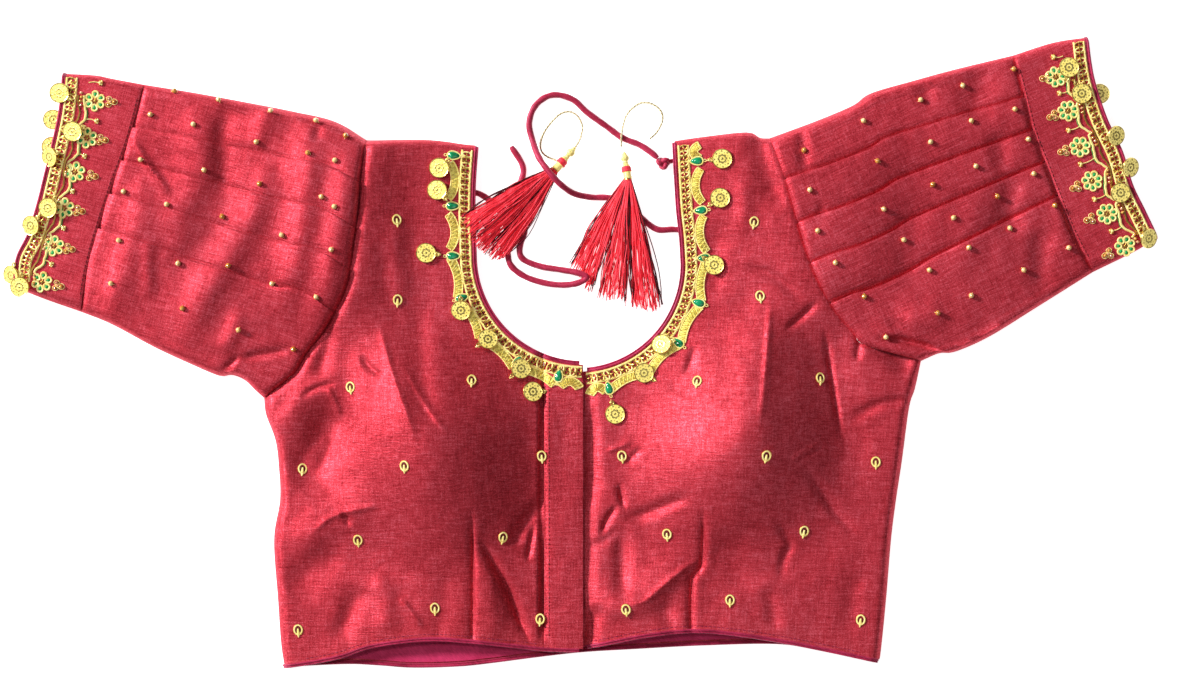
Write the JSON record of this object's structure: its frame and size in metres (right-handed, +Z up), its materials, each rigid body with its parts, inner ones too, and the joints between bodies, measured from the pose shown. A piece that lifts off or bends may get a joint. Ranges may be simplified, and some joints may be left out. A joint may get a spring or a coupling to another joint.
{
  "type": "choli blouse",
  "caption": "Short cupped silk blouse lying flat, with tucked elbow sleeves, beaded trim with sewn coins and back ties with tassels.",
  "frame": {"origin": "on the surface that the blouse lies on, under the middle of its box without the ties and tassels", "axes": "+Z up from the surface, +Y to the blouse's shoulders, +X to the wearer's left"},
  "size_m": [0.8108, 0.4432, 0.0429],
  "materials": {
    "silk": "raw silk with a soft sheen",
    "piping": "rolled satin silk",
    "zari": "gold-wrapped thread and beads",
    "coin": "stamped thin brass",
    "thread": "twisted thread"
  },
  "bodies": {
    "root": {"back": "silk", "coin_cuff_left_1": "coin", "coin_cuff_left_2": "coin", "coin_cuff_left_3": "coin", "coin_cuff_left_4": "coin", "coin_cuff_left_5": "coin", "coin_cuff_left_6": "coin", "coin_cuff_left_in_1": "coin", "coin_cuff_right_1": "coin", "coin_cuff_right_2": "coin", "coin_cuff_right_3": "coin", "coin_cuff_right_4": "coin", "coin_cuff_right_5": "coin", "coin_cuff_right_6": "coin", "coin_cuff_right_7": "coin", "coin_cuff_right_in_1": "coin", "coin_cuff_right_in_2": "coin", "coin_neck_left_1": "coin", "coin_neck_left_2": "coin", "coin_neck_left_3": "coin", "coin_neck_left_4": "coin", "coin_neck_left_5": "coin", "coin_neck_left_6": "coin", "coin_neck_right_1": "coin", "coin_neck_right_2": "coin", "coin_neck_right_3": "coin", "coin_neck_right_4": "coin", "coin_neck_right_5": "coin", "coin_neck_right_6": "coin", "coin_neck_right_7": "coin", "cuff_left": "silk", "cuff_piping_left": "piping", "cuff_piping_right": "piping", "cuff_right": "silk", "cuff_trim_left": "zari", "cuff_trim_right": "zari", "front_left": "silk", "front_right": "silk", "hem_facing_back": "piping", "hem_piping_back": "piping", "hem_piping_left": "piping", "hem_piping_right": "piping", "neck_piping_left": "piping", "neck_piping_right": "piping", "neck_trim_left": "zari", "neck_trim_right": "zari", "placket": "silk", "sleeve_left": "silk", "sleeve_right": "silk", "tassel_cap_left": "zari", "tassel_cap_right": "zari", "tassel_left": "thread", "tassel_loop_left": "zari", "tassel_loop_right": "zari", "tassel_right": "thread", "tie_knot_left": "piping", "tie_left": "piping", "tie_right": "piping"}
  },
  "joints": []
}
